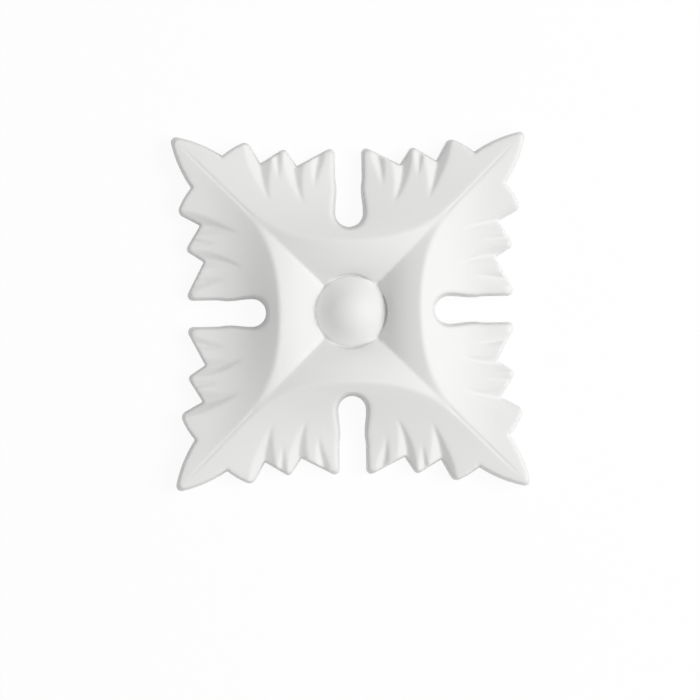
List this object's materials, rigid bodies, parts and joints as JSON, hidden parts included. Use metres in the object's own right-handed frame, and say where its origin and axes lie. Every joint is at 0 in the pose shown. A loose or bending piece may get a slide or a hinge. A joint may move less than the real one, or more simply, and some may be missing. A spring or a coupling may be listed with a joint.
{
  "type": "flower applique",
  "caption": "Square moulded rosette with a domed button in a four-sided bowl, a raised ridge and pointed, fluted corner leaves; glued flat-backed to a door, wall, frame or ceiling as trim.",
  "frame": {"origin": "centre of the flat back, on the line through the middle of the button", "axes": "+Z is the front, pointing away from the surface the piece is glued to; X and Y run along the square's sides, through the middles of the four slots"},
  "size_m": [0.1, 0.1, 0.0147],
  "materials": {
    "moulding": "rigid polyurethane foam moulding with a smooth matte white primer skin"
  },
  "bodies": {
    "root": {"flower_applique": "moulding"}
  },
  "joints": []
}
